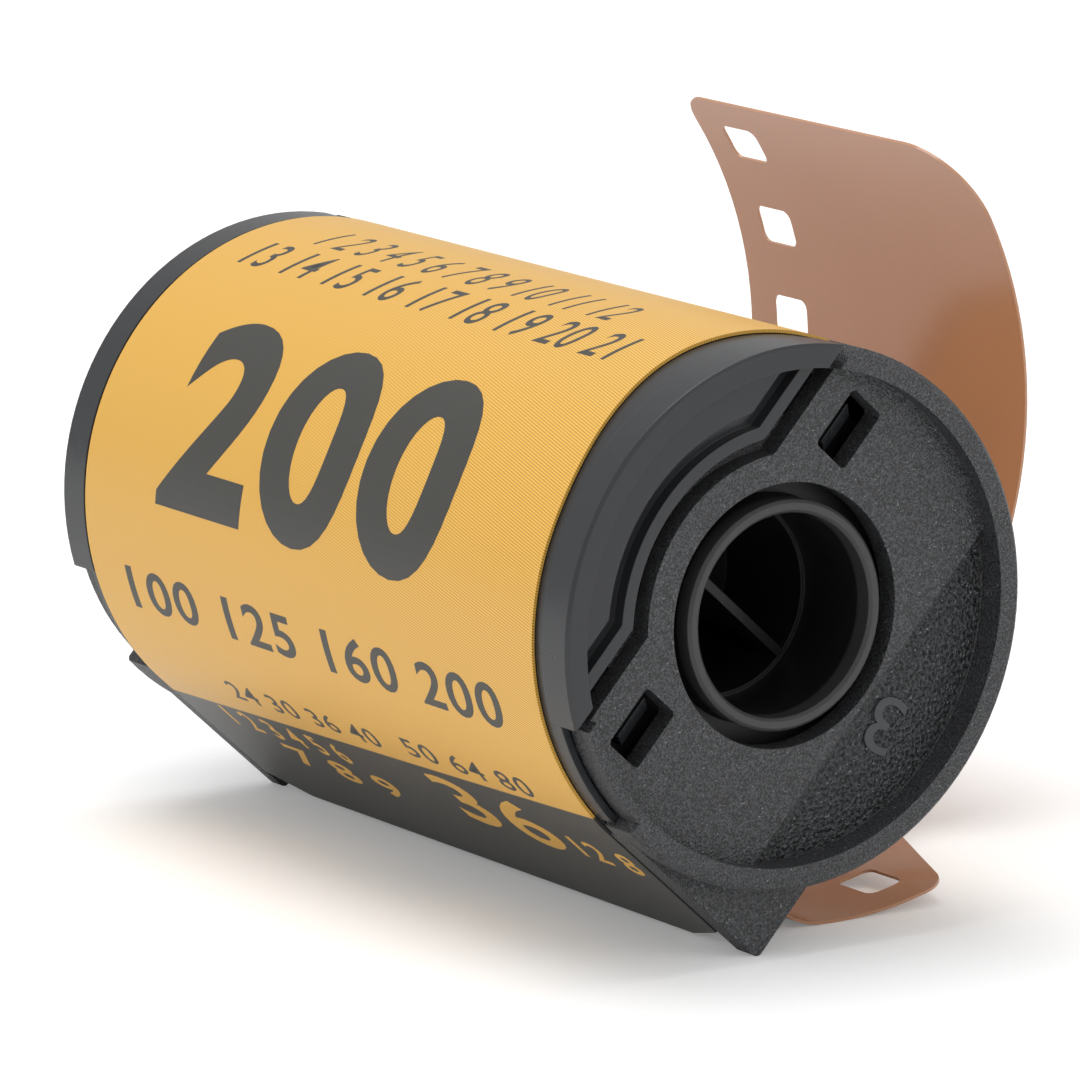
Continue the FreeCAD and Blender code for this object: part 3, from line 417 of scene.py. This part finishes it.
fine = grained.noise(GRAIN, detail=0.5)
fine_tone = grained.ramp(fine, *GRAIN_TONES) * (1 - coarse)
tone = fine_tone + grained.ramp(pebbles, *PEBBLE_TONES) * coarse
# Painted glints: small flecks of the colour are lifted towards a light grey, as highlights.
painted_glints = grained.ramp(grained.noise(GLINT_SIZE, detail=0.0), *GLINT_TONES)
plastic = grained.blend(tone, GRAIN_DARK, GRAIN_LIGHT)
grained.feed("Base Color", grained.blend(painted_glints, plastic, PAINTED_GLINT))
grained.relief(fine + pebbles * coarse * PEBBLE_HEIGHT, GRAIN_RELIEF, GRAIN_EDGE)
dress("inner_shell", grained)

FIGURE_SPACE, FIGURE_DEEP, FIGURE_WELD = 1.12, 0.01, 1e-5
SMALL_CURVES, BIG_CURVES = 5, 8


def flat_figures(body, bold, slant, curves):
    """A line of figures as a flat closed mesh, from 0 to 1 each way and from -1 to 1 thick."""
    text = bpy.data.curves.new(body, "FONT")
    text.body = body
    text.extrude = FIGURE_DEEP
    text.offset = bold
    text.shear = slant
    text.resolution_u = curves
    text.space_character = FIGURE_SPACE
    drawn = bpy.data.objects.new(body, text)
    bpy.context.scene.collection.objects.link(drawn)
    bpy.context.view_layer.update()
    mesh = as_mesh(drawn)
    bpy.data.objects.remove(drawn)
    figures = bmesh.new()
    figures.from_mesh(mesh)
    bmesh.ops.remove_doubles(figures, verts=figures.verts, dist=FIGURE_WELD)
    spans = [[vertex.co[i] for vertex in figures.verts] for i in range(3)]
    low = Vector([min(span) for span in spans])
    size = Vector([max(span) for span in spans]) - low
    for vertex in figures.verts:
        share = vertex.co - low
        vertex.co = (share.x / size.x, share.y / size.y, 2 * share.z / size.z - 1)
    return figures


DIGIT_ASIDE, DIGIT_DOWN = 6.0 * MM, 5.9 * MM
DIGIT_UP = Vector((-0.5, 0, -0.87)).normalized()
DIGIT_WIDTH, DIGIT_HEIGHT, DIGIT_PROUD, DIGIT_SUNK = 1.7 * MM, 2.7 * MM, 0.12 * MM, 0.05 * MM
digit_right = Vector((DIGIT_UP.z, 0, -DIGIT_UP.x))
digit_middle = rim_centre + Vector((DIGIT_ASIDE, LOW_FLOOR_DEPTH, -DIGIT_DOWN))
figures = flat_figures("3", 0.0, 0.0, SMALL_CURVES)
for vertex in figures.verts:
    across, along, out = vertex.co
    place = digit_middle + digit_right * (across - 0.5) * DIGIT_WIDTH
    place += DIGIT_UP * (along - 0.5) * DIGIT_HEIGHT
    vertex.co = place - Vector((0, DIGIT_PROUD if out > 0 else -DIGIT_SUNK, 0))
bmesh.ops.recalc_face_normals(figures, faces=figures.faces)
digit = plain_mesh("cavity_number", [], [])
figures.to_mesh(digit.data)
number_finish = Finish("cavity_number", Base_Color=(0.05, 0.052, 0.056, 1), Roughness=0.36)
digit.data.materials.append(number_finish.material)
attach(digit, "cartridge")


# The outer shell: the smooth black half with the outer lip, the ridge that keeps light out of
# the seam, and the claws that snap under the inner shell's windows.
SHELL_RIPPLE, SHELL_RELIEF, SHELL_EDGE = 0.7 * MM, 0.006 * MM, 0.08 * MM
smooth = Finish("smooth_plastic", Base_Color=(0.026, 0.0275, 0.03, 1), Roughness=0.27)
smooth.relief(smooth.noise(SHELL_RIPPLE), SHELL_RELIEF, SHELL_EDGE)
dress("outer_shell", smooth)


# The label: printed film wrapped from the outer lip round the back, which holds the shells
# together. It is made as a sheet of its own so that the print can follow it: its map gives
# the depth behind the flat end's rim and the way up from the lip's bend, in millimetres. Its
# corners on the lip are cut away, and its near edge slips aside as it goes up.
LABEL_RADIUS = AXIS.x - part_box("label")[0][0]
BEND_ANGLE = SEAM_ANGLE + math.pi
LABEL_THICKNESS = 0.15 * MM
LIP_RUN, LIP_STEPS = 9.2 * MM, 16
LIP_CORNER, CORNER_RUN = 3 * MM, 1.15 * MM
WRAP, WRAP_STEPS, DEPTH_STEPS = math.radians(298), 200, 12
NEAR_EDGE, FAR_EDGE = 2.7 * MM, 41.1 * MM
SLIP, SLIP_START, SLIP_END = 1.4 * MM, 16 * MM, 28 * MM


def on_label(depth, up, proud):
    """A point on the label: behind the rim, up from the lip's bend, and above its face."""
    radius = LABEL_RADIUS + proud
    if up < 0:
        point = rim_centre - across_seam * radius - to_mouth * up
    else:
        angle = BEND_ANGLE - up / LABEL_RADIUS
        point = rim_centre + Vector((math.cos(angle), 0, math.sin(angle))) * radius
    return point + Vector((0, depth, 0))


def smooth_step(value, low, high):
    """0 below low, 1 above high, and an S between them."""
    share = min(max((value - low) / (high - low), 0), 1)
    return share * share * (3 - 2 * share)


ups = [-LIP_RUN + LIP_RUN * i / LIP_STEPS for i in range(LIP_STEPS)]
ups += [LABEL_RADIUS * WRAP * i / WRAP_STEPS for i in range(WRAP_STEPS + 1)]
rows = []
for up in ups:
    corner = smooth_step(-up, LIP_RUN - CORNER_RUN, LIP_RUN) * LIP_CORNER
    slip = SLIP * smooth_step(up, SLIP_START, SLIP_END)
    near, far = NEAR_EDGE + corner + slip, FAR_EDGE - corner
    rows.append([(near + (far - near) * i / DEPTH_STEPS, up) for i in range(DEPTH_STEPS + 1)])
flat = [place for row in rows for place in row]
points = [on_label(depth, up, 0) for depth, up in flat]
points += [on_label(depth, up, -LABEL_THICKNESS) for depth, up in flat]
width = DEPTH_STEPS + 1
back = len(flat)
faces = []
for r in range(len(rows) - 1):
    for i in range(DEPTH_STEPS):
        a = r * width + i
        b, c, d = a + 1, a + width + 1, a + width
        faces += [(a, b, c, d), (back + d, back + c, back + b, back + a)]
last = (len(rows) - 1) * width
edge = list(range(width))
edge += [r * width + DEPTH_STEPS for r in range(1, len(rows))]
edge += [last + i for i in range(DEPTH_STEPS - 1, -1, -1)]
edge += [r * width for r in range(len(rows) - 2, 0, -1)]
for i, a in enumerate(edge):
    b = edge[(i + 1) % len(edge)]
    faces.append((b, a, back + a, back + b))
label = plain_mesh("label_sheet", points, faces)
uv = label.data.uv_layers.new(name="print")
for loop in label.data.loops:
    depth, up = flat[loop.vertex_index % back]
    uv.data[loop.index].uv = (depth / MM, up / MM)

# The print is screened: lines so many to a millimetre along and up the label, which change its
# colour by a share. They are strong near the flat end and fade towards the far end.
SCREEN_ALONG, SCREEN_UP, SCREEN_SHARE = -1.88, 7.6, 0.34
SCREEN_NEAR, SCREEN_FAR = 6, 30
SCREEN_FADE, SCREEN_LEAST = 0.46, 0.03


def screened(finish, tone):
    """A colour with the screen's lines in it, and the two numbers of the label's map."""
    depth_mm, up_mm, _ = finish.parts(finish.node("ShaderNodeUVMap", {"uv_map": "print"}))
    turns = depth_mm * (SCREEN_ALONG * 2 * math.pi) + up_mm * (SCREEN_UP * 2 * math.pi)
    strength = finish.ramp(depth_mm, SCREEN_FAR, SCREEN_NEAR) * SCREEN_FADE + SCREEN_LEAST
    line = finish.math("SINE", turns) * strength + 0.5
    lighter = [min(part * (1 + SCREEN_SHARE), 1) for part in tone[:3]]
    darker = [part * (1 - SCREEN_SHARE) for part in tone[:3]]
    return finish.blend(line, (*darker, 1), (*lighter, 1)), depth_mm, up_mm


# The black band's upper edge, in millimetres up the label, falls towards the far end.
AMBER, INK = (0.755, 0.42, 0.072, 1), (0.047, 0.046, 0.041, 1)
BAND_START, BAND_SLOPE, BAND_BASE, BAND_SOFT = 1.1, 0.055, 3, 0.04
label_finish = Finish("printed_label", Roughness=0.36)
amber, depth_mm, up_mm = screened(label_finish, AMBER)
band_edge = BAND_START - (depth_mm - BAND_BASE) * BAND_SLOPE
band = label_finish.ramp(up_mm - band_edge, BAND_SOFT, -BAND_SOFT)
label_finish.feed("Base Color", label_finish.blend(band, amber, INK))
label.data.materials.append(label_finish.material)
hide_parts("label")
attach(label, "cartridge")


# The print on the label: rows of plain figures in black on the amber, and in amber on the
# black band. Each stands a hair above the sheet, as a layer of ink does. A row gives its
# figures, its left and right ends as depths behind the rim, its foot and its top as ways up
# the label, all in millimetres, how bold it is and how much it slants.
INK_PROUD, INK_SUNK = 0.008 * MM, 0.02 * MM
STRIP_HEIGHT, BIG_HEIGHT = 0.5, 5
BLACK_ROWS = (
    ("1 2 3 4 5 6 7 8 9 10 11 12", 36.0, 11.0, 27.3, 29.5, -0.002, 0.25),
    ("13 14 15 16 17 18 19 20 21", 38.5, 7.0, 24.4, 26.6, 0.004, 0.25),
    ("200", 34.7, 10.6, 11.2, 21.2, 0.034, 0.0),
    ("100 125 160 200", 38.0, 6.0, 5.5, 7.8, 0.016, 0.0),
    ("24 30 36 40", 33.0, 20.0, 0.9, 2.2, 0.006, 0.0),
    ("50 64 80", 17.5, 7.0, 1.2, 2.5, 0.006, 0.0),
)
AMBER_ROWS = (
    ("1 2 3 4 5 6", 37.0, 26.5, -2.6, -0.9, 0.01, 0.0),
    ("7 8 9", 34.0, 24.5, -5.0, -3.2, 0.016, 0.0),
    ("36", 18.5, 9.8, -4.3, -0.3, 0.012, 0.0),
    ("12 8", 8.6, 3.6, -3.9, -2.2, 0.012, 0.0),
)


def cut_across(figures, strips):
    """Cuts figures into level strips, so that they can bend."""
    for i in range(1, strips):
        everything = figures.verts[:] + figures.edges[:] + figures.faces[:]
        level = (0, i / strips, 0)
        bmesh.ops.bisect_plane(figures, geom=everything, plane_co=level, plane_no=(0, 1, 0))


def printed(name, rows, tone):
    """Rows of figures laid on the label, as one piece that follows its curve."""
    whole = bmesh.new()
    uv = whole.loops.layers.uv.new("print")
    for body, left, right_end, low, high, bold, slant in rows:
        curves = SMALL_CURVES if high - low < BIG_HEIGHT else BIG_CURVES
        figures = flat_figures(body, bold, slant, curves)
        cut_across(figures, math.ceil((high - low) / STRIP_HEIGHT))
        row = bpy.data.meshes.new(body)
        figures.to_mesh(row)
        first = len(whole.verts)
        whole.from_mesh(row)
        whole.verts.ensure_lookup_table()
        new = whole.verts[first:]
        places = {}
        for vertex in new:
            across, along, out = vertex.co
            depth = left + (right_end - left) * across
            up = low + (high - low) * along
            places[vertex] = depth, up
            vertex.co = on_label(depth * MM, up * MM, INK_PROUD if out > 0 else -INK_SUNK)
        for vertex in new:
            for loop in vertex.link_loops:
                loop[uv].uv = places[vertex]
    bmesh.ops.recalc_face_normals(whole, faces=whole.faces)
    ink = plain_mesh(name, [], [])
    whole.to_mesh(ink.data)
    finish = Finish(name, Roughness=0.42)
    finish.feed("Base Color", screened(finish, tone)[0])
    ink.data.materials.append(finish.material)
    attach(ink, "cartridge")


printed("black_print", BLACK_ROWS, INK)
printed("amber_print", AMBER_ROWS, AMBER)
